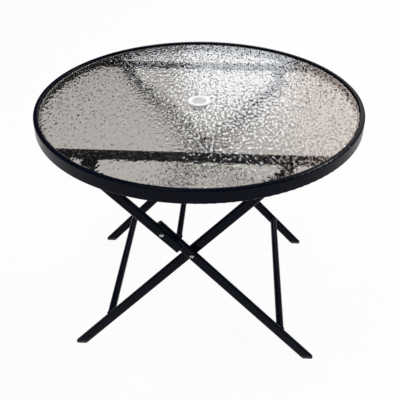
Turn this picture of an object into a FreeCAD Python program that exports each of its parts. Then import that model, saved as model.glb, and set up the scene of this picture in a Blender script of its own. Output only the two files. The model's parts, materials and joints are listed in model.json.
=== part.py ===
import FreeCAD, Part
import math
import os

# Folding garden table with a round glass top and a hole for a parasol pole.
# Millimetres, +Z up. The origin is the point of the ground under the middle of the top.
# The crossbars run along X, the user's side in front is -Y, the rear is +Y.

# Table top
table_height = 715.0
table_radius = 452.0
rim_height = 37.0
rim_width = 13.5
rim_wall = 1.2
rim_top_radius = 4.0
rim_bottom_radius = 3.0
ledge_reach = 5.0
ledge_thickness = 1.2
drain_hole_radius = 3.0
drain_hole_count = 4
glass_drop = 5.0
glass_thickness = 5.0
glass_edge_radius = 1.2
glass_play = 0.8
gasket_thickness = 0.8
gasket_width = 4.0

# Parasol ring in the middle of the glass
pole_bore_radius = 20.0
pole_sleeve_wall = 2.5
pole_sleeve_depth = 22.0
pole_flange_radius = 32.5
pole_flange_thickness = 3.0
pole_flange_edge_radius = 2.0
pole_mouth_radius = 1.2
pole_sleeve_edge_radius = 0.8
glass_hole_play = 1.0
flange_seat_margin = 0.5

# Crossbars under the glass and the brackets that hang from them. The crossbars lie a little
# outside the outer legs.
crossbar_shift = 3.5
crossbar_clearance = 1.0
crossbar_width = 25.0
crossbar_height = 15.0
crossbar_wall = 1.5
pad_radius = 7.0
pad_spread = 170.0
bracket_thickness = 3.0
bracket_top_width = 42.0
bracket_end_radius = 12.0
bracket_flare_radius = 24.0
bracket_shoulder = 3.0
bracket_bend_radius = 4.0
bracket_rim_gap = 27.58

# Linkage in the X-Z plane: distances between pivots. It is shifted so that the lock tube
# clears the pole.
pivot_drop = 65.0
pivot_span = 482.5
linkage_shift = -5.75
inner_upper_length = 353.9
outer_upper_length = 115.1
knee_lead = 1.5

# Flat-oval tube of the legs and links
leg_width = 30.0
leg_thickness = 15.0
leg_wall = 1.5
frame_pitch = 21.0
inner_leg_overrun = 20.0
outer_leg_overrun = 19.0
link_overrun = 16.0
link_tail = 67.0

# Round tubes
stretcher_radius = 11.0
lock_tube_radius = 8.0
round_tube_wall = 1.2
stretcher_rise = 5.0
inner_stretcher_height = 157.0
outer_stretcher_height = 141.5
lock_tube_setback = 40.0
lock_tab_thickness = 3.0
lock_tab_radius = 9.0
lock_tab_reach = 28.0

# Plastic ends
foot_head_height = 10.0
foot_length = 27.0
foot_tip_radius = 5.0
foot_heel_radius = 8.0
foot_profile_margin = 0.4
plug_head_thickness = 2.0
plug_head_radius = 1.2
plug_depth = 10.0
plug_play = 0.1

# Pivot bolts, nuts and spacers
bolt_radius = 3.0
bolt_head_radius = 5.25
bolt_head_height = 3.3
bolt_dome_height = 2.4
bolt_socket_width = 4.0
bolt_socket_depth = 2.0
nut_width = 10.0
nut_hex_height = 3.6
nut_height = 5.0
nut_collar_radius = 4.4
spacer_radius = 9.0
bracket_washer_thickness = 2.0

# Clearances
pin_play = 0.05
running_gap = 0.3
side_play = 0.2

# How far a cutting body runs past the faces it cuts, and how closely an edge is recognised
cut_margin = 1.0
tolerance = 0.001

# Heights of the top's layers
glass_top_z = table_height - glass_drop
glass_bottom_z = glass_top_z - glass_thickness
ledge_top_z = glass_bottom_z - gasket_thickness
ledge_bottom_z = ledge_top_z - ledge_thickness
crossbar_top_z = ledge_bottom_z - crossbar_clearance
crossbar_bottom_z = crossbar_top_z - crossbar_height
rim_bottom_z = table_height - rim_height
rim_inner_radius = table_radius - rim_width
glass_hole_radius = pole_bore_radius + pole_sleeve_wall + glass_hole_play

# The outer corners of the link brackets clear the rim, which sets how far apart the front and
# rear frames stand. These are the centre planes of the three pairs of flat tubes.
half_thickness = leg_thickness / 2
bracket_corner_x = pivot_span / 2 + abs(linkage_shift) + bracket_top_width / 2
bracket_corner_y = math.sqrt((rim_inner_radius - bracket_rim_gap) ** 2 - bracket_corner_x ** 2)
link_plane = bracket_corner_y - bracket_thickness - bracket_washer_thickness - half_thickness
outer_plane = link_plane - frame_pitch
inner_plane = outer_plane - frame_pitch
crossbar_offset = outer_plane + crossbar_shift

# Faces of the flat tubes on the front side
inner_near_face = -inner_plane + half_thickness
inner_far_face = -inner_plane - half_thickness
outer_near_face = -outer_plane + half_thickness
outer_far_face = -outer_plane - half_thickness
link_near_face = -link_plane + half_thickness
link_far_face = -link_plane - half_thickness

# The linkage folds flat, so the link takes up what the two upper leg lengths leave of the span.
link_length = pivot_span - inner_upper_length + outer_upper_length
pivot_z = table_height - pivot_drop
leg_pivot = (linkage_shift + pivot_span / 2, pivot_z)
link_pivot = (linkage_shift - pivot_span / 2, pivot_z)

# Standing pose: the knee between link and outer leg stops a little short of straight.
reach = math.sqrt(
    outer_upper_length ** 2 + link_length ** 2
    + 2 * outer_upper_length * link_length * math.cos(math.radians(knee_lead)))
inner_angle = math.degrees(math.acos(
    (pivot_span ** 2 + inner_upper_length ** 2 - reach ** 2)
    / (2 * pivot_span * inner_upper_length)))
crossing = (
    leg_pivot[0] - inner_upper_length * math.cos(math.radians(inner_angle)),
    leg_pivot[1] - inner_upper_length * math.sin(math.radians(inner_angle)))
chord_angle = math.degrees(math.atan2(link_pivot[1] - crossing[1], link_pivot[0] - crossing[0]))
knee_offset = math.degrees(math.asin(link_length * math.sin(math.radians(knee_lead)) / reach))
outer_angle = chord_angle - knee_offset
link_angle = outer_angle + knee_lead


def along(point, angle, distance, rise=0.0):
    """Point at a distance along a tube, raised towards the tube's upper edge."""
    side = 1.0 if angle < 90 else -1.0
    cosine = math.cos(math.radians(angle))
    sine = math.sin(math.radians(angle))
    return (
        point[0] + distance * cosine - side * rise * sine,
        point[1] + distance * sine + side * rise * cosine)


knee = along(crossing, outer_angle, outer_upper_length)
inner_foot_length = crossing[1] / math.sin(math.radians(inner_angle))
outer_foot_length = crossing[1] / math.sin(math.radians(outer_angle))


def rounded_wire(corners):
    """Closed outline in the X-Z plane from corners (x, z, radius), its corners as arcs."""
    starts = []
    arcs = []
    count = len(corners)
    for index in range(count):
        x, z, radius = corners[index]
        here = FreeCAD.Vector(x, 0, z)
        before = FreeCAD.Vector(corners[index - 1][0], 0, corners[index - 1][1])
        after = FreeCAD.Vector(corners[(index + 1) % count][0], 0, corners[(index + 1) % count][1])
        if radius == 0:
            starts.append((here, here))
            arcs.append(None)
            continue
        back = (before - here).normalize()
        ahead = (after - here).normalize()
        half = back.getAngle(ahead) / 2
        cut = radius / math.tan(half)
        middle = here + (back + ahead).normalize() * (radius / math.sin(half) - radius)
        starts.append((here + back * cut, here + ahead * cut))
        arcs.append(Part.Arc(here + back * cut, middle, here + ahead * cut).toShape())
    edges = []
    for index in range(count):
        if arcs[index]:
            edges.append(arcs[index])
        leave = starts[index][1]
        arrive = starts[(index + 1) % count][0]
        if (arrive - leave).Length > tolerance:
            edges.append(Part.LineSegment(leave, arrive).toShape())
    return Part.Wire(edges)


def turned(corners):
    """Solid of revolution about Z."""
    face = Part.Face(rounded_wire(corners))
    return face.revolve(FreeCAD.Vector(0, 0, 0), FreeCAD.Vector(0, 0, 1), 360)


def pin(point, radius, y_from, y_to):
    """Cylinder along Y through a point of the X-Z plane."""
    start = FreeCAD.Vector(point[0], y_from, point[1])
    return Part.makeCylinder(radius, y_to - y_from, start, FreeCAD.Vector(0, 1, 0))


def oval_bar(point, angle, start, end, plane, width, thickness):
    """Flat-oval bar in a plane of constant Y, from start to end along its angle."""
    flat = (width - thickness) / 2
    half = thickness / 2
    a = FreeCAD.Vector(start, half, -flat)
    b = FreeCAD.Vector(start, half, flat)
    c = FreeCAD.Vector(start, -half, flat)
    d = FreeCAD.Vector(start, -half, -flat)
    top = FreeCAD.Vector(start, 0, flat + half)
    bottom = FreeCAD.Vector(start, 0, -flat - half)
    wire = Part.Wire([
        Part.LineSegment(a, b).toShape(),
        Part.Arc(b, top, c).toShape(),
        Part.LineSegment(c, d).toShape(),
        Part.Arc(d, bottom, a).toShape()])
    bar = Part.Face(wire).extrude(FreeCAD.Vector(end - start, 0, 0))
    bar.rotate(FreeCAD.Vector(0, 0, 0), FreeCAD.Vector(0, 1, 0), -angle)
    bar.translate(FreeCAD.Vector(point[0], plane, point[1]))
    return bar


def oval_tube(point, angle, start, end, plane):
    """Flat-oval tube, open at both ends."""
    outside = oval_bar(point, angle, start, end, plane, leg_width, leg_thickness)
    inside = oval_bar(
        point, angle, start - cut_margin, end + cut_margin, plane,
        leg_width - 2 * leg_wall, leg_thickness - 2 * leg_wall)
    return outside.cut(inside)


def bore_bar(point, angle, start, end, plane):
    """Bar that fits inside the flat-oval tube."""
    inset = 2 * (leg_wall + plug_play)
    return oval_bar(point, angle, start, end, plane, leg_width - inset, leg_thickness - inset)


def below(height):
    """Block that takes away everything below a height."""
    size = 4 * table_radius
    return Part.makeBox(size, size, size, FreeCAD.Vector(-size / 2, -size / 2, height - size))


def drilled(shape, points, plane):
    """Shape with a bolt hole along Y at each point."""
    for point in points:
        shape = shape.cut(pin(point, bolt_radius + pin_play, plane - leg_thickness, plane + leg_thickness))
    return shape


def rear(shape):
    """Mirror image of a front piece at the rear."""
    return shape.mirror(FreeCAD.Vector(0, 0, 0), FreeCAD.Vector(0, 1, 0))


def both(shape):
    """A front piece and its mirror image at the rear."""
    return shape, rear(shape)


def save(name, *shapes):
    """Write one node, as a group of separate solids where it holds more than one."""
    solids = [solid for shape in shapes for solid in shape.Solids]
    node = solids[0] if len(solids) == 1 else Part.makeCompound(solids)
    node.exportStep("parts/" + name + ".step")


def rim_ring():
    """Hollow rolled ring with a ledge inside for the glass and drain holes below."""
    def tube(inset):
        return turned([
            (rim_inner_radius + inset, rim_bottom_z + inset, rim_bottom_radius - inset),
            (table_radius - inset, rim_bottom_z + inset, rim_bottom_radius - inset),
            (table_radius - inset, table_height - inset, rim_top_radius - inset),
            (rim_inner_radius + inset, table_height - inset, rim_top_radius - inset)])

    ledge_root = rim_inner_radius + rim_wall / 2
    ledge_edge = rim_inner_radius - ledge_reach
    ledge = turned([
        (ledge_edge, ledge_bottom_z, 0),
        (ledge_root, ledge_bottom_z, 0),
        (ledge_root, ledge_top_z, 0),
        (ledge_edge, ledge_top_z, 0)])
    ring = tube(0).fuse(ledge).cut(tube(rim_wall))
    drain_path = table_radius - rim_width / 2
    for index in range(drain_hole_count):
        turn = math.radians((index + 0.5) * 360 / drain_hole_count)
        foot = FreeCAD.Vector(
            drain_path * math.cos(turn), drain_path * math.sin(turn), rim_bottom_z - cut_margin)
        ring = ring.cut(Part.makeCylinder(drain_hole_radius, rim_wall + 2 * cut_margin, foot))
    return ring


def glass_gasket():
    """Soft flat ring between the ledge and the glass."""
    inner = rim_inner_radius - ledge_reach + (ledge_reach - gasket_width) / 2
    return turned([
        (inner, ledge_top_z, 0),
        (inner + gasket_width, ledge_top_z, 0),
        (inner + gasket_width, glass_bottom_z, 0),
        (inner, glass_bottom_z, 0)])


def glass_top():
    """Tempered pane with a polished edge and a hole for the pole.

    Its upper face is split round the parasol ring's flange: the flange's seat inside, and the
    free table surface outside.
    """
    pane_radius = rim_inner_radius - glass_play
    return turned([
        (glass_hole_radius, glass_bottom_z, glass_edge_radius),
        (pane_radius, glass_bottom_z, glass_edge_radius),
        (pane_radius, glass_top_z, glass_edge_radius),
        (pole_flange_radius + flange_seat_margin, glass_top_z, 0),
        (glass_hole_radius, glass_top_z, glass_edge_radius)])


def umbrella_ring():
    """Ring with a flange on the glass and a sleeve through it."""
    sleeve_radius = pole_bore_radius + pole_sleeve_wall
    flange_top = glass_top_z + pole_flange_thickness
    sleeve_end = glass_top_z - pole_sleeve_depth
    return turned([
        (pole_bore_radius, sleeve_end, pole_sleeve_edge_radius),
        (sleeve_radius, sleeve_end, pole_sleeve_edge_radius),
        (sleeve_radius, glass_top_z, 0),
        (pole_flange_radius, glass_top_z, 0),
        (pole_flange_radius, flange_top, pole_flange_edge_radius),
        (pole_bore_radius, flange_top, pole_mouth_radius)])


def crossbar():
    """Rectangular tube across the ring, its ends cut to the ring's inner wall."""
    length = 2 * table_radius
    outside = Part.makeBox(
        length, crossbar_width, crossbar_height,
        FreeCAD.Vector(-length / 2, -crossbar_offset - crossbar_width / 2, crossbar_bottom_z))
    inside = Part.makeBox(
        length, crossbar_width - 2 * crossbar_wall, crossbar_height - 2 * crossbar_wall,
        FreeCAD.Vector(
            -length / 2, -crossbar_offset - crossbar_width / 2 + crossbar_wall,
            crossbar_bottom_z + crossbar_wall))
    long_edges = [
        edge for edge in outside.Edges if abs(edge.Length - length) < tolerance]
    room = Part.makeCylinder(
        rim_inner_radius, crossbar_height, FreeCAD.Vector(0, 0, crossbar_bottom_z))
    return outside.makeFillet(crossbar_wall, long_edges).cut(inside).common(room)


def crossbar_pads():
    """Soft pads that fill the gap between a crossbar and the glass."""
    pads = []
    for x in (-pad_spread, pad_spread):
        foot = FreeCAD.Vector(x, -crossbar_offset, crossbar_top_z)
        pads.append(Part.makeCylinder(pad_radius, glass_bottom_z - crossbar_top_z, foot))
    return pads


def bracket(pivot, web_far_face, flange_near_face):
    """Bent plate: a flange under the crossbar and a flared ear down to the pivot."""
    half = bracket_top_width / 2
    x, z = pivot
    flare_run = half - bracket_end_radius
    flare_turn = math.acos((bracket_flare_radius - flare_run) / bracket_flare_radius)
    shoulder_z = crossbar_bottom_z - bracket_thickness - bracket_shoulder
    flare_z = shoulder_z - bracket_flare_radius * math.sin(flare_turn)

    def spot(across, height):
        return FreeCAD.Vector(x + across, web_far_face, height)

    def flare(side):
        middle_turn = flare_turn / 2
        middle = spot(
            side * (bracket_end_radius + bracket_flare_radius * (1 - math.cos(middle_turn))),
            flare_z + bracket_flare_radius * math.sin(middle_turn))
        return Part.Arc(spot(side * half, shoulder_z), middle, spot(side * bracket_end_radius, flare_z))

    left_end = spot(-bracket_end_radius, z)
    right_end = spot(bracket_end_radius, z)
    outline = Part.Wire([
        Part.LineSegment(spot(-half, crossbar_bottom_z), spot(half, crossbar_bottom_z)).toShape(),
        Part.LineSegment(spot(half, crossbar_bottom_z), spot(half, shoulder_z)).toShape(),
        flare(1).toShape(),
        Part.LineSegment(spot(bracket_end_radius, flare_z), right_end).toShape(),
        Part.Arc(right_end, spot(0, z - bracket_end_radius), left_end).toShape(),
        Part.LineSegment(left_end, spot(-bracket_end_radius, flare_z)).toShape(),
        flare(-1).toShape(),
        Part.LineSegment(spot(-half, shoulder_z), spot(-half, crossbar_bottom_z)).toShape()])
    web = Part.Face(outline).extrude(FreeCAD.Vector(0, bracket_thickness, 0))
    far_side = min(web_far_face, flange_near_face)
    depth = abs(flange_near_face - web_far_face)
    flange = Part.makeBox(
        bracket_top_width, depth, bracket_thickness,
        FreeCAD.Vector(x - half, far_side, crossbar_bottom_z - bracket_thickness))
    plate = web.fuse(flange).removeSplitter()
    bend_face = web_far_face if flange_near_face > web_far_face else web_far_face + bracket_thickness
    bend = [
        edge for edge in plate.Edges
        if abs(edge.CenterOfMass.y - bend_face) < tolerance
        and abs(edge.CenterOfMass.z - crossbar_bottom_z) < tolerance]
    plate = plate.makeFillet(bracket_bend_radius, bend)
    hole = pin(
        pivot, bolt_radius + pin_play,
        web_far_face - cut_margin, web_far_face + bracket_thickness + cut_margin)
    return plate.cut(hole)


def hexagon(point, width, y_from, y_to):
    """Hexagonal prism along Y, its width across the flats."""
    corner_radius = width / math.sqrt(3)
    corners = []
    for index in range(7):
        turn = math.radians(60 * index)
        corners.append(FreeCAD.Vector(
            point[0] + corner_radius * math.cos(turn), y_from, point[1] + corner_radius * math.sin(turn)))
    return Part.Face(Part.makePolygon(corners)).extrude(FreeCAD.Vector(0, y_to - y_from, 0))


def bolt(point, under_head, end):
    """Domed socket bolt: its head faces the front and its shank points to the rear."""
    head_face = under_head - bolt_head_height
    sphere_radius = (bolt_head_radius ** 2 + bolt_dome_height ** 2) / (2 * bolt_dome_height)
    centre = FreeCAD.Vector(point[0], head_face + sphere_radius, point[1])
    head = pin(point, bolt_head_radius, head_face, under_head)
    head = head.common(Part.makeSphere(sphere_radius, centre))
    socket = hexagon(point, bolt_socket_width, head_face - cut_margin, head_face + bolt_socket_depth)
    return head.fuse(pin(point, bolt_radius, under_head, end)).cut(socket).removeSplitter()


def nut(point, seat):
    """Locking nut on the rear side of a seat: hexagon and round collar."""
    body = hexagon(point, nut_width, seat, seat + nut_hex_height)
    collar = pin(point, nut_collar_radius, seat, seat + nut_height)
    hole = pin(point, bolt_radius + pin_play, seat - cut_margin, seat + nut_height + cut_margin)
    return body.fuse(collar).cut(hole)


def spacer(point, y_from, y_to):
    """Nylon washer round a bolt."""
    hole = pin(point, bolt_radius + pin_play, y_from - cut_margin, y_to + cut_margin)
    return pin(point, spacer_radius, y_from, y_to).cut(hole)


def section_distance(edge, point, angle):
    """How far along a tube the middle of an edge lies."""
    middle = edge.CenterOfMass
    return (
        (middle.x - point[0]) * math.cos(math.radians(angle))
        + (middle.z - point[1]) * math.sin(math.radians(angle)))


def plug(point, angle, end, direction, plane):
    """Push-in cap on an open tube end; direction is +1 where the tube ends ahead, -1 behind."""
    outer_end = end + direction * plug_head_thickness
    head_ends = sorted((end, outer_end))
    head = oval_bar(point, angle, head_ends[0], head_ends[1], plane, leg_width, leg_thickness)
    outer_edges = [
        edge for edge in head.Edges
        if abs(section_distance(edge, point, angle) - outer_end) < tolerance]
    head = head.makeFillet(plug_head_radius, outer_edges)
    stem_ends = sorted((end, end - direction * plug_depth))
    return head.fuse(bore_bar(point, angle, stem_ends[0], stem_ends[1], plane))


def foot(angle, foot_distance, plane):
    """Push-in foot under a leg: a head flush with the tube, rounded at tip and heel."""
    lean = 1.0 if angle < 90 else -1.0
    middle = crossing[0] - foot_distance * math.cos(math.radians(angle))
    half_run = (leg_width / 2 + foot_profile_margin) / math.sin(math.radians(angle))
    drift = foot_head_height / math.tan(math.radians(angle))
    tip = middle - lean * half_run
    heel = middle + lean * half_run
    profile = Part.Face(rounded_wire([
        (tip, 0, foot_tip_radius),
        (heel, 0, foot_heel_radius),
        (heel + drift, foot_head_height, 0),
        (tip + drift, foot_head_height, 0)]))
    block = profile.extrude(FreeCAD.Vector(0, leg_thickness + 2 * cut_margin, 0))
    block.translate(FreeCAD.Vector(0, plane - leg_thickness / 2 - cut_margin, 0))
    start = -foot_distance - foot_length
    end = -foot_distance + foot_length
    head = oval_bar(crossing, angle, start, end, plane, leg_width, leg_thickness).common(block)
    stem = bore_bar(crossing, angle, start, end, plane).cut(below(foot_head_height))
    return head.fuse(stem)


def inner_leg():
    """Leg from the ground to the leg bracket, with its bolt holes."""
    leg = oval_tube(
        crossing, inner_angle, -inner_foot_length - foot_length,
        inner_upper_length + inner_leg_overrun, -inner_plane)
    return drilled(leg.cut(below(foot_head_height)), (crossing, leg_pivot), -inner_plane)


def outer_leg():
    """Short leg from the ground to the knee, with its bolt holes."""
    leg = oval_tube(
        crossing, outer_angle, -outer_foot_length - foot_length,
        outer_upper_length + outer_leg_overrun, -outer_plane)
    return drilled(leg.cut(below(foot_head_height)), (crossing, knee), -outer_plane)


def link():
    """Upper link from its bracket past the knee, its tail over the outer leg."""
    bar = oval_tube(knee, link_angle, -link_tail, link_length + link_overrun, -link_plane)
    return drilled(bar, (knee, link_pivot), -link_plane)


def cross_tube(point, radius, half_length):
    """Round tube between a front and a rear piece."""
    outside = pin(point, radius, -half_length, half_length)
    return outside.cut(pin(point, radius - round_tube_wall, -half_length, half_length))


def lock_tube_point():
    """Centre of the lock tube, which lies on the upper edge of the outer legs."""
    rise = leg_width / 2 + lock_tube_radius + running_gap
    return along(knee, outer_angle, -lock_tube_setback, rise)


def lock_tab():
    """Plate on the link's inner face that holds one end of the lock tube."""
    centre = lock_tube_point()
    foot_point = along(centre, link_angle, 0, -lock_tab_reach)
    y_from = link_near_face
    y_to = link_near_face + lock_tab_thickness
    head = pin(centre, lock_tab_radius, y_from, y_to)
    stem = Part.makeBox(
        2 * lock_tab_radius, lock_tab_thickness, lock_tab_reach,
        FreeCAD.Vector(-lock_tab_radius, 0, 0))
    stem.rotate(FreeCAD.Vector(0, 0, 0), FreeCAD.Vector(0, 1, 0), 180 - link_angle)
    stem.translate(FreeCAD.Vector(foot_point[0], y_from, foot_point[1]))
    return head.fuse(stem).removeSplitter()


def make_table_top():
    """Rim, glass, parasol ring and crossbars."""
    save("rim_ring", rim_ring())
    save("glass_gasket", glass_gasket())
    save("glass_top", glass_top())
    save("umbrella_ring", umbrella_ring())
    bar = crossbar()
    save("front_crossbar", bar)
    save("rear_crossbar", rear(bar))
    pads = crossbar_pads()
    save("crossbar_pads", *pads, *[rear(pad) for pad in pads])


def make_brackets():
    """Brackets under the crossbars, with the pivot bolts that they hold."""
    flange_edge = -crossbar_offset + crossbar_width / 2
    link_web = link_far_face - bracket_washer_thickness - bracket_thickness
    link_bracket = bracket(link_pivot, link_web, flange_edge)
    save("front_link_bracket", link_bracket)
    save("rear_link_bracket", rear(link_bracket))
    link_bolt = bolt(link_pivot, link_web, link_near_face + nut_height)
    save("link_pivot_bolts", *both(link_bolt))
    save("link_pivot_nuts", *both(nut(link_pivot, link_near_face)))
    washer = spacer(link_pivot, link_web + bracket_thickness, link_far_face - side_play)
    save("link_pivot_washers", *both(washer))
    leg_web = outer_near_face - bracket_thickness
    leg_bracket = bracket(leg_pivot, leg_web, -crossbar_offset - crossbar_width / 2)
    save("front_leg_bracket", leg_bracket)
    save("rear_leg_bracket", rear(leg_bracket))
    save("leg_bracket_bolts", *both(bolt(leg_pivot, leg_web, outer_near_face)))


def make_link_frame():
    """Front and rear link, the lock tube between them and the knee bolts."""
    bar = link()
    save("front_link", bar)
    save("rear_link", rear(bar))
    top_plug = plug(knee, link_angle, link_length + link_overrun, 1, -link_plane)
    save("link_top_plugs", *both(top_plug))
    tail_plug = plug(knee, link_angle, -link_tail, -1, -link_plane)
    save("link_tail_plugs", *both(tail_plug))
    tab = lock_tab()
    save("front_lock_tab", tab)
    save("rear_lock_tab", rear(tab))
    tube_half = -link_near_face - lock_tab_thickness
    save("lock_tube", cross_tube(lock_tube_point(), lock_tube_radius, tube_half))
    save("knee_bolts", *both(bolt(knee, link_far_face, outer_near_face + nut_height)))
    save("knee_nuts", *both(nut(knee, outer_near_face)))
    save("knee_spacers", *both(spacer(knee, link_near_face, outer_far_face - side_play)))


def make_outer_frame():
    """Outer legs with their stretcher, caps and crossing bolts."""
    leg = outer_leg()
    save("front_outer_leg", leg)
    save("rear_outer_leg", rear(leg))
    cap = foot(outer_angle, outer_foot_length, -outer_plane)
    save("front_outer_foot", cap)
    save("rear_outer_foot", rear(cap))
    top_plug = plug(crossing, outer_angle, outer_upper_length + outer_leg_overrun, 1, -outer_plane)
    save("outer_leg_plugs", *both(top_plug))
    tube_point = along(
        crossing, outer_angle, outer_stretcher_height - outer_foot_length, stretcher_rise)
    save("outer_stretcher", cross_tube(tube_point, stretcher_radius, -outer_near_face))
    save("crossing_bolts", *both(bolt(crossing, outer_far_face, inner_near_face + nut_height)))
    save("crossing_nuts", *both(nut(crossing, inner_near_face)))
    save("crossing_spacers", *both(spacer(crossing, outer_near_face, inner_far_face - side_play)))


def make_inner_frame():
    """Inner legs with their stretcher, caps and upper pivots."""
    leg = inner_leg()
    save("front_inner_leg", leg)
    save("rear_inner_leg", rear(leg))
    cap = foot(inner_angle, inner_foot_length, -inner_plane)
    save("front_inner_foot", cap)
    save("rear_inner_foot", rear(cap))
    top_plug = plug(crossing, inner_angle, inner_upper_length + inner_leg_overrun, 1, -inner_plane)
    save("inner_leg_plugs", *both(top_plug))
    tube_point = along(
        crossing, inner_angle, inner_stretcher_height - inner_foot_length, stretcher_rise)
    save("inner_stretcher", cross_tube(tube_point, stretcher_radius, -inner_near_face))
    shank = pin(leg_pivot, bolt_radius, outer_near_face + running_gap, inner_near_face + nut_height)
    save("leg_pivot_shanks", *both(shank))
    save("leg_pivot_nuts", *both(nut(leg_pivot, inner_near_face)))
    save("leg_pivot_spacers", *both(spacer(leg_pivot, outer_near_face + running_gap, inner_far_face)))


os.makedirs("parts", exist_ok=True)
make_table_top()
make_brackets()
make_link_frame()
make_outer_frame()
make_inner_frame()
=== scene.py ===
import json
import math

import bmesh
import bpy
from mathutils import Matrix, Vector, noise


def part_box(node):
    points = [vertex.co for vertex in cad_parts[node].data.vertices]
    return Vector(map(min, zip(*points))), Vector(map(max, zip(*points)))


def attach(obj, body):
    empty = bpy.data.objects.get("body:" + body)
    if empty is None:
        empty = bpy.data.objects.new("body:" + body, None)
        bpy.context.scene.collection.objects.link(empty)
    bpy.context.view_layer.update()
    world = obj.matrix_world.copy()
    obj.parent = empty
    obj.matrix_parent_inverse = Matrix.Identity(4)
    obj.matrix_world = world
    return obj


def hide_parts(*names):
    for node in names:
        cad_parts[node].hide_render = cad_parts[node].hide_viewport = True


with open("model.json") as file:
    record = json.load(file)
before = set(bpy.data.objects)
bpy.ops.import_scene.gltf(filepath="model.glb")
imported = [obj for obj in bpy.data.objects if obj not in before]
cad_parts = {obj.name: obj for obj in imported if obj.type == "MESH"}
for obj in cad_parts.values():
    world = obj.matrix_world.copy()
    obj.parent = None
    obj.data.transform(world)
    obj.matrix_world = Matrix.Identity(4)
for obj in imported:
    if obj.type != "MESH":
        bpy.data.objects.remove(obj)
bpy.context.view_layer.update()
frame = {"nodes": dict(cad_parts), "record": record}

MM = 0.001
AXIS_Z = Vector((0, 0, 1))
SUBPARTS = frame["record"]["subparts"]

# Glass pane, in millimetres: the pressed waves of its underside are modelled, and the small
# dimples between them are tilts of the shading normal
PANE_CELLS = 290
PANE_HOLE = 23.5
PANE_GROUND = 1.2
WAVE_LENGTH = 14.0
WAVE_STRETCH = 1.5
WAVE_HEIGHT = 0.30
WAVE_LIFT = 0.5
DIMPLE_WIDTH = 7.0
DIMPLE_STRETCH = 2.0

# Tilt of the dimples across and along the table, on the pane's underside and on its upper side
UNDER_TILT = (0.92, 0.38)
UPPER_TILT = (0.32, 0.32)

# Grain of the finishes, in millimetres
COAT_PEEL = 5.0
COAT_HAZE = 60.0
PLASTIC_CLOUD = 20.0
ZINC_CLOUD = 3.0

# Weld beads, in millimetres: rows of overlapping drops at the joints of the tubes
BEAD_RADIUS = 1.6
BEAD_STEP = 1.3
RING_POINTS = 44
SEAM_PROUD = 0.3
SEAM_MARGIN = 4.0
EDGE_STEPS = 4

# Camera, set to the photograph's view: place in metres, turns in degrees
CAMERA_PLACE = (0.0996, -1.5494, 1.4601)
CAMERA_YAW = -3.60
CAMERA_PITCH = -34.95
CAMERA_ROLL = -0.10
CAMERA_LENS = 55.0
CAMERA_SENSOR = 36.0

# Floor: half its width in metres, and how far it glows white to the eye; the rest shows the shadow
FLOOR_HALF = 8.0
FLOOR_GLOW = 0.93

# Surroundings: their level as light and in reflections, and the ceiling seen through the glass,
# which starts and ends its fall at these heights of the view's direction
WORLD_LIGHT = 0.5
WORLD_SHINE = 0.02
CEILING_FROM = 0.05
CEILING_TO = 0.35
CEILING_LEVEL = 0.15

# Lamps: name, place and target in metres, width and height in metres, radiance, colour.
# The softbox fills the top, the rear lamps sparkle in the glass, and the warm panel tints its right
# side. The right window draws the bright edge on the rim.
LAMPS = (
    ("overhead_softbox", (-0.6, -0.8, 3.2), (0, 0, 0.5), 0.8, 0.8, 11.0, "#FFFFFF"),
    ("rear_panel", (1.22, 3.46, 2.50), (0, 0, 0.7), 1.24, 0.80, 2.4, "#FFEBE2"),
    ("rear_window", (0.12, 3.60, 2.15), (0, 0, 0.7), 0.98, 0.72, 4.1, "#F2F8FF"),
    ("rear_door", (-0.66, 3.60, 1.82), (0, 0, 0.7), 0.40, 0.25, 3.5, "#F2F8FF"),
    ("right_window", (3.2, 2.0, 2.9), (0, 0, 0.6), 0.7, 0.7, 45.0, "#FFFFFF"))


def linear(hex_colour):
    """sRGB hex value to a linear colour with alpha."""
    channels = []
    for start in (1, 3, 5):
        value = int(hex_colour[start:start + 2], 16) / 255
        channels.append(value / 12.92 if value <= 0.04045 else ((value + 0.055) / 1.055) ** 2.4)
    return (*channels, 1.0)


def add_node(tree, kind, inputs=None, **settings):
    """Add a node with its settings; an input is a value or the socket that feeds it."""
    node = tree.nodes.new(kind)
    for name, value in settings.items():
        setattr(node, name, value)
    for name, value in (inputs or {}).items():
        if isinstance(value, bpy.types.NodeSocket):
            tree.links.new(value, node.inputs[name])
        else:
            node.inputs[name].default_value = value
    return node


def new_material(name):
    """Empty node material and its tree."""
    material = bpy.data.materials.new(name)
    material.use_nodes = True
    material.node_tree.nodes.clear()
    return material, material.node_tree


def set_ramp(node, *stops):
    """Set a colour ramp's stops from (position, hex colour)."""
    elements = node.color_ramp.elements
    while len(elements) > len(stops):
        elements.remove(elements[-1])
    while len(elements) < len(stops):
        elements.new(1.0)
    for element, (position, colour) in zip(elements, stops):
        element.position = position
        element.color = linear(colour)
    return node


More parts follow.
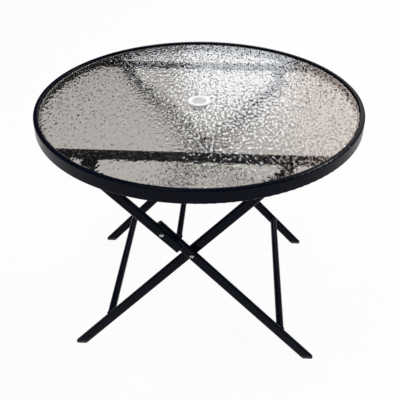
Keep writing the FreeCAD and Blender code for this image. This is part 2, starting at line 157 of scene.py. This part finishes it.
def powder_coat():
    """Polyester powder coat baked on steel: satin black with a trace of blue.

    It gives soft streaks of light along the rounded edges, broken by a slight orange peel.
    """
    material, tree = new_material("satin_powder_coat")
    place = add_node(tree, "ShaderNodeTexCoord").outputs["Object"]
    # The orange peel of the melt is about 1 mm across. It is drawn at 5 mm, so that it shows.
    peel = add_node(tree, "ShaderNodeTexNoise", {
        "Vector": place, "Scale": 1 / (COAT_PEEL * MM), "Detail": 2.0})
    # Handling leaves the gloss uneven over about 60 mm.
    haze = add_node(tree, "ShaderNodeTexNoise", {
        "Vector": place, "Scale": 1 / (COAT_HAZE * MM), "Detail": 3.0})
    gloss = add_node(tree, "ShaderNodeMapRange", {
        "Value": haze.outputs["Fac"], "From Min": 0.3, "From Max": 0.7,
        "To Min": 0.20, "To Max": 0.28})
    shade = set_ramp(
        add_node(tree, "ShaderNodeValToRGB", {"Fac": haze.outputs["Fac"]}),
        (0.3, "#060A14"), (0.7, "#0B0F1E"))
    bump = add_node(tree, "ShaderNodeBump", {
        "Height": peel.outputs["Fac"], "Strength": 0.12, "Distance": 0.4 * MM})
    coat = add_node(tree, "ShaderNodeBsdfPrincipled", {
        "Base Color": shade.outputs["Color"], "Roughness": gloss.outputs["Result"],
        "Specular IOR Level": 0.06, "Normal": bump.outputs["Normal"]})
    add_node(tree, "ShaderNodeOutputMaterial", {"Surface": coat.outputs["BSDF"]})
    return material


def rippled_glass():
    """Tempered pane in a light bronze tint, its underside pressed with a water ripple.

    It breaks what lies below into flecks, and carries the sparkle of the window behind.
    """
    low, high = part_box("glass_top")
    material, tree = new_material("rippled_bronze_glass")
    place = add_node(tree, "ShaderNodeTexCoord").outputs["Object"]
    height = add_node(tree, "ShaderNodeSeparateXYZ", {"Vector": place}).outputs["Z"]
    # The dimples of the press run longer than wide, and the surface tilts smoothly between them.
    stretched = add_node(tree, "ShaderNodeMapping", {
        "Vector": place, "Scale": (1.0, 1 / DIMPLE_STRETCH, 1.0)}).outputs["Vector"]
    dimples = add_node(tree, "ShaderNodeTexNoise", {
        "Vector": stretched, "Scale": 1 / (DIMPLE_WIDTH * MM), "Detail": 1.0},
        noise_dimensions="2D")
    centred = add_node(tree, "ShaderNodeVectorMath", {
        0: dimples.outputs["Color"], 1: (0.5, 0.5, 0.5)}, operation="SUBTRACT")
    # The dimples are deep on the underside and faint on the upper side.
    tilt_x, tilt_y = [
        add_node(tree, "ShaderNodeMapRange", {
            "Value": height, "From Min": low.z, "From Max": high.z,
            "To Min": under, "To Max": upper}).outputs["Result"]
        for under, upper in zip(UNDER_TILT, UPPER_TILT)]
    depth = add_node(tree, "ShaderNodeCombineXYZ", {"X": tilt_x, "Y": tilt_y})
    tilt = add_node(tree, "ShaderNodeVectorMath", {
        0: centred.outputs["Vector"], 1: depth.outputs["Vector"]}, operation="MULTIPLY")
    surface = add_node(tree, "ShaderNodeNewGeometry").outputs["Normal"]
    tilted = add_node(tree, "ShaderNodeVectorMath", {
        0: surface, 1: tilt.outputs["Vector"]}, operation="ADD")
    normal = add_node(tree, "ShaderNodeVectorMath", {
        0: tilted.outputs["Vector"]}, operation="NORMALIZE")
    glass = add_node(tree, "ShaderNodeBsdfPrincipled", {
        "Base Color": linear("#BCB8B3"), "Roughness": 0.06, "IOR": 1.5,
        "Transmission Weight": 1.0, "Normal": normal.outputs["Vector"]})
    # The pane lets the lamps' light through to what stands below it.
    clear = add_node(tree, "ShaderNodeBsdfTransparent", {"Color": linear("#D8D3CD")})
    path = add_node(tree, "ShaderNodeLightPath")
    mix = add_node(tree, "ShaderNodeMixShader", {
        "Fac": path.outputs["Is Shadow Ray"], 1: glass.outputs["BSDF"], 2: clear.outputs["BSDF"]})
    add_node(tree, "ShaderNodeOutputMaterial", {"Surface": mix.outputs["Shader"]})
    return material


def moulded_plastic(name, dark, light, rough_low, rough_high, grain):
    """Moulded plastic in two close shades; grain is the mould's texture in millimetres."""
    material, tree = new_material(name)
    place = add_node(tree, "ShaderNodeTexCoord").outputs["Object"]
    cloud = add_node(tree, "ShaderNodeTexNoise", {
        "Vector": place, "Scale": 1 / (PLASTIC_CLOUD * MM), "Detail": 3.0})
    shade = set_ramp(
        add_node(tree, "ShaderNodeValToRGB", {"Fac": cloud.outputs["Fac"]}),
        (0.35, dark), (0.65, light))
    gloss = add_node(tree, "ShaderNodeMapRange", {
        "Value": cloud.outputs["Fac"], "From Min": 0.3, "From Max": 0.7,
        "To Min": rough_low, "To Max": rough_high})
    texture = add_node(tree, "ShaderNodeTexNoise", {"Vector": place, "Scale": 1 / (grain * MM)})
    bump = add_node(tree, "ShaderNodeBump", {
        "Height": texture.outputs["Fac"], "Strength": 0.15, "Distance": 0.3 * MM})
    plastic = add_node(tree, "ShaderNodeBsdfPrincipled", {
        "Base Color": shade.outputs["Color"], "Roughness": gloss.outputs["Result"],
        "Specular IOR Level": 0.4, "Normal": bump.outputs["Normal"]})
    add_node(tree, "ShaderNodeOutputMaterial", {"Surface": plastic.outputs["BSDF"]})
    return material


def zinc_plate():
    """Bright zinc on steel: pale metal with a cloudy, slightly blue shine."""
    material, tree = new_material("bright_zinc_plate")
    place = add_node(tree, "ShaderNodeTexCoord").outputs["Object"]
    cloud = add_node(tree, "ShaderNodeTexNoise", {
        "Vector": place, "Scale": 1 / (ZINC_CLOUD * MM), "Detail": 3.0})
    shade = set_ramp(
        add_node(tree, "ShaderNodeValToRGB", {"Fac": cloud.outputs["Fac"]}),
        (0.3, "#C4C8CE"), (0.7, "#E6E8EA"))
    gloss = add_node(tree, "ShaderNodeMapRange", {
        "Value": cloud.outputs["Fac"], "From Min": 0.3, "From Max": 0.7,
        "To Min": 0.28, "To Max": 0.42})
    metal = add_node(tree, "ShaderNodeBsdfPrincipled", {
        "Base Color": shade.outputs["Color"], "Metallic": 1.0,
        "Roughness": gloss.outputs["Result"]})
    add_node(tree, "ShaderNodeOutputMaterial", {"Surface": metal.outputs["BSDF"]})
    return material


def make_finishes():
    """One finish for each material slot of the record."""
    return {
        "powder_coat": powder_coat(),
        "rippled_glass": rippled_glass(),
        # Polypropylene ring: glossy and pale, faintly uneven from the mould.
        "white_plastic": moulded_plastic(
            "white_polypropylene", "#F6F6F4", "#FCFCFA", 0.22, 0.34, 2.0),
        # Clear vinyl under the glass's edge: milky, so that it draws a pale line inside the rim.
        "clear_vinyl": moulded_plastic("milky_clear_vinyl", "#DDE0E4", "#ECEEF1", 0.25, 0.40, 1.5),
        # Plasticised vinyl pads: dull and soft.
        "soft_vinyl": moulded_plastic("soft_vinyl", "#17171A", "#222226", 0.55, 0.70, 1.5),
        # Polyethylene caps: duller than the coat, with a fine mould grain.
        "black_plastic": moulded_plastic(
            "moulded_polyethylene", "#0C0C0F", "#151518", 0.42, 0.58, 1.2),
        # Turned nylon washers: dry and matt.
        "black_nylon": moulded_plastic("turned_nylon", "#121214", "#1C1C1F", 0.50, 0.62, 1.0),
        "zinc_steel": zinc_plate()}


def new_piece(name, bm, body, finish):
    """Finish a bmesh as a piece that rides on a body and takes a slot's finish."""
    bmesh.ops.recalc_face_normals(bm, faces=bm.faces)
    mesh = bpy.data.meshes.new(name)
    bm.to_mesh(mesh)
    bm.free()
    piece = bpy.data.objects.new(name, mesh)
    bpy.context.collection.objects.link(piece)
    mesh.materials.append(finish)
    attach(piece, body)
    return piece


def wave(x, y):
    """Depth of the pressed waves at a place on the pane, in metres."""
    spot = Vector((x, y / WAVE_STRETCH, 0)) / (WAVE_LENGTH * MM)
    return WAVE_HEIGHT * MM * max(0.0, noise.noise(spot) + WAVE_LIFT)


def glass_pane(finish):
    """Pane with a flat upper side, ground edges and pressed waves underneath."""
    low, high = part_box("glass_top")
    radius = (high.x - low.x) / 2
    hole = PANE_HOLE * MM
    ground = PANE_GROUND * MM
    bm = bmesh.new()
    bmesh.ops.create_grid(bm, x_segments=PANE_CELLS, y_segments=PANE_CELLS, size=1.0)
    for vert in bm.verts:
        u, v, _ = vert.co
        vert.co.x = u * math.sqrt(1 - v * v / 2) * (radius - ground)
        vert.co.y = v * math.sqrt(1 - u * u / 2) * (radius - ground)
    inside = [face for face in bm.faces if face.calc_center_median().length < hole]
    bmesh.ops.delete(bm, geom=inside, context="FACES")
    border = [edge for edge in bm.edges if edge.is_boundary]
    # A border point nearer than half the radius is on the hole's edge.
    for vert in {vert for edge in border for vert in edge.verts}:
        flat = Vector((vert.co.x, vert.co.y, 0))
        if flat.length < radius / 2:
            vert.co = flat.normalized() * (hole + ground)
    for face in bm.faces:
        face.smooth = True
    rim = {vert for edge in border for vert in edge.verts}
    for vert in bm.verts:
        vert.co.z = low.z
        if vert not in rim:
            vert.co.z += wave(vert.co.x, vert.co.y)
    steps = ((ground, 0.0), (high.z - low.z - ground, 0.0), (high.z - low.z, ground))
    for rise, inset in steps:
        made = bmesh.ops.extrude_edge_only(bm, edges=border)["geom"]
        border = [item for item in made if isinstance(item, bmesh.types.BMEdge)]
        for vert in {vert for edge in border for vert in edge.verts}:
            flat = Vector((vert.co.x, vert.co.y, 0))
            place = hole + inset if flat.length < radius / 2 else radius - inset
            vert.co = flat.normalized() * place
            vert.co.z = low.z + rise
    bmesh.ops.triangle_fill(bm, use_beauty=False, use_dissolve=False, edges=border)
    pane = new_piece("rippled_pane", bm, "table_top", finish)
    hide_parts("glass_top")
    return pane


def add_bead(bm, path):
    """Row of overlapping drops along a path of points, like the coins of a weld."""
    for start, end in zip(path, path[1:]):
        count = max(1, round((end - start).length / (BEAD_STEP * MM)))
        for index in range(count):
            drop = bmesh.ops.create_icosphere(
                bm, subdivisions=2, radius=BEAD_RADIUS * MM)["verts"]
            bmesh.ops.translate(bm, verts=drop, vec=start.lerp(end, index / count))


def tube_end_beads(bm, node):
    """Ring of weld round each end of a cross tube."""
    low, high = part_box(node)
    radius = (high.z - low.z) / 2
    for y in (low.y, high.y):
        centre = Vector(((low.x + high.x) / 2, y, (low.z + high.z) / 2))
        turns = [math.tau * index / RING_POINTS for index in range(RING_POINTS + 1)]
        add_bead(bm, [
            centre + radius * Vector((math.cos(turn), 0, math.sin(turn))) for turn in turns])


def crossbar_end_beads(bm, node):
    """Weld down both sides of a crossbar's ends and along their lower edge, on the rim's wall."""
    low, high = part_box(node)
    sign = math.copysign(1, low.y)
    near, far = sorted((abs(low.y), abs(high.y)))
    wall = math.hypot(high.x, near)
    for side in (-1, 1):
        def corner(y, z):
            return Vector((side * math.sqrt(wall * wall - y * y), sign * y, z))
        edge = [
            corner(near + (far - near) * index / EDGE_STEPS, low.z)
            for index in range(EDGE_STEPS + 1)]
        add_bead(bm, [corner(near, high.z), *edge, corner(far, high.z)])


def flange_beads(bm, node, crossbar):
    """Weld across a crossbar's underside at both ends of a bracket's flange."""
    low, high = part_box(node)
    bar_low, bar_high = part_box(crossbar)
    for x in (low.x, high.x):
        add_bead(bm, [Vector((x, bar_low.y, high.z)), Vector((x, bar_high.y, high.z))])


def rim_seam(bm):
    """Ground-down butt weld where the rim's bent tube closes, at the back on the left."""
    low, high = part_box("rim_ring")
    radius = high.x - (BEAD_RADIUS - SEAM_PROUD) * MM
    place = radius * Vector((-1, 1, 0)).normalized()
    add_bead(bm, [
        place + AXIS_Z * (low.z + SEAM_MARGIN * MM),
        place + AXIS_Z * (high.z - SEAM_MARGIN * MM)])


def finish_welds(name, bm, body, finish):
    """Round off a mesh of weld beads and let it ride on a body."""
    for face in bm.faces:
        face.smooth = True
    new_piece(name, bm, body, finish)


def weld_beads(finish):
    """Weld beads of the four welded frames."""
    top = bmesh.new()
    for side in ("front", "rear"):
        crossbar_end_beads(top, side + "_crossbar")
        flange_beads(top, side + "_link_bracket", side + "_crossbar")
        flange_beads(top, side + "_leg_bracket", side + "_crossbar")
    rim_seam(top)
    finish_welds("top_welds", top, "table_top", finish)
    tubes = (
        ("link_welds", "lock_tube", "link_frame"),
        ("outer_welds", "outer_stretcher", "outer_frame"),
        ("inner_welds", "inner_stretcher", "inner_frame"))
    for name, node, body in tubes:
        bm = bmesh.new()
        tube_end_beads(bm, node)
        finish_welds(name, bm, body, finish)


def make_floor():
    """Plain white floor that keeps the table's shadow."""
    bm = bmesh.new()
    bmesh.ops.create_grid(bm, x_segments=1, y_segments=1, size=FLOOR_HALF)
    mesh = bpy.data.meshes.new("floor")
    bm.to_mesh(mesh)
    bm.free()
    floor = bpy.data.objects.new("floor", mesh)
    bpy.context.collection.objects.link(floor)
    material, tree = new_material("white_floor")
    matt = add_node(tree, "ShaderNodeBsdfDiffuse", {"Color": linear("#FAFAFA")})
    glow = add_node(tree, "ShaderNodeEmission", {
        "Color": linear("#FFFFFF"), "Strength": 1.0})
    path = add_node(tree, "ShaderNodeLightPath")
    seen = add_node(tree, "ShaderNodeMath", {
        0: path.outputs["Is Camera Ray"], 1: path.outputs["Is Glossy Ray"]},
        operation="MAXIMUM")
    seen = add_node(tree, "ShaderNodeMath", {
        0: seen.outputs[0], 1: path.outputs["Is Transmission Ray"]}, operation="MAXIMUM")
    share = add_node(tree, "ShaderNodeMath", {
        0: seen.outputs[0], 1: FLOOR_GLOW}, operation="MULTIPLY")
    mix = add_node(tree, "ShaderNodeMixShader", {
        "Fac": share.outputs[0], 1: matt.outputs["BSDF"], 2: glow.outputs["Emission"]})
    add_node(tree, "ShaderNodeOutputMaterial", {"Surface": mix.outputs["Shader"]})
    mesh.materials.append(material)


def make_world():
    """White surroundings to the eye and through the glass, and a softer level as light."""
    world = bpy.data.worlds.new("studio")
    bpy.context.scene.world = world
    world.use_nodes = True
    tree = world.node_tree
    tree.nodes.clear()
    path = add_node(tree, "ShaderNodeLightPath")
    seen = add_node(tree, "ShaderNodeMath", {
        0: path.outputs["Is Camera Ray"], 1: path.outputs["Is Transmission Ray"]},
        operation="MAXIMUM")
    dim = add_node(tree, "ShaderNodeMapRange", {
        "Value": path.outputs["Is Glossy Ray"], "To Min": WORLD_LIGHT, "To Max": WORLD_SHINE})
    light = add_node(tree, "ShaderNodeBackground", {
        "Color": linear("#F4F6FA"), "Strength": dim.outputs["Result"]})
    # The walls are white, the ceiling is dark: only what is seen through the glass shows it.
    upward = add_node(tree, "ShaderNodeSeparateXYZ", {
        "Vector": add_node(tree, "ShaderNodeTexCoord").outputs["Generated"]})
    ceiling = add_node(tree, "ShaderNodeMapRange", {
        "Value": upward.outputs["Z"], "From Min": CEILING_FROM, "From Max": CEILING_TO,
        "To Min": 1.0, "To Max": CEILING_LEVEL})
    level = add_node(tree, "ShaderNodeMath", {
        0: ceiling.outputs["Result"], 1: path.outputs["Is Camera Ray"]}, operation="MAXIMUM")
    white = add_node(tree, "ShaderNodeBackground", {
        "Color": linear("#FFFFFF"), "Strength": level.outputs[0]})
    mix = add_node(tree, "ShaderNodeMixShader", {
        "Fac": seen.outputs[0], 1: light.outputs["Background"], 2: white.outputs["Background"]})
    add_node(tree, "ShaderNodeOutputWorld", {"Surface": mix.outputs["Shader"]})


def make_lamp(name, place, target, width, height, radiance, colour):
    """Rectangular soft lamp that faces a point; radiance is what a mirror would show of it."""
    data = bpy.data.lights.new(name, "AREA")
    data.shape = "RECTANGLE"
    data.size = width
    data.size_y = height
    data.energy = radiance * math.pi * width * height
    data.color = linear(colour)[:3]
    lamp = bpy.data.objects.new(name, data)
    bpy.context.collection.objects.link(lamp)
    lamp.location = place
    lamp.rotation_euler = (Vector(target) - Vector(place)).to_track_quat("-Z", "Y").to_euler()


def make_camera():
    """Camera at the photograph's view."""
    data = bpy.data.cameras.new("camera")
    data.sensor_width = CAMERA_SENSOR
    data.lens = CAMERA_LENS
    camera = bpy.data.objects.new("camera", data)
    bpy.context.collection.objects.link(camera)
    turn = Matrix.Rotation(-math.radians(CAMERA_YAW), 4, "Z")
    tilt = Matrix.Rotation(math.radians(90 + CAMERA_PITCH), 4, "X")
    roll = Matrix.Rotation(math.radians(CAMERA_ROLL), 4, "Z")
    camera.matrix_world = Matrix.Translation(CAMERA_PLACE) @ turn @ tilt @ roll
    bpy.context.scene.camera = camera


finishes = make_finishes()
for subpart in SUBPARTS:
    node = frame["nodes"][subpart["node"]]
    node.data.materials.clear()
    node.data.materials.append(finishes[subpart["material_slot"]])
glass_pane(finishes["rippled_glass"])
weld_beads(finishes["powder_coat"])

make_floor()
make_world()
for lamp_setting in LAMPS:
    make_lamp(*lamp_setting)
make_camera()
bpy.context.scene.view_settings.view_transform = "Standard"
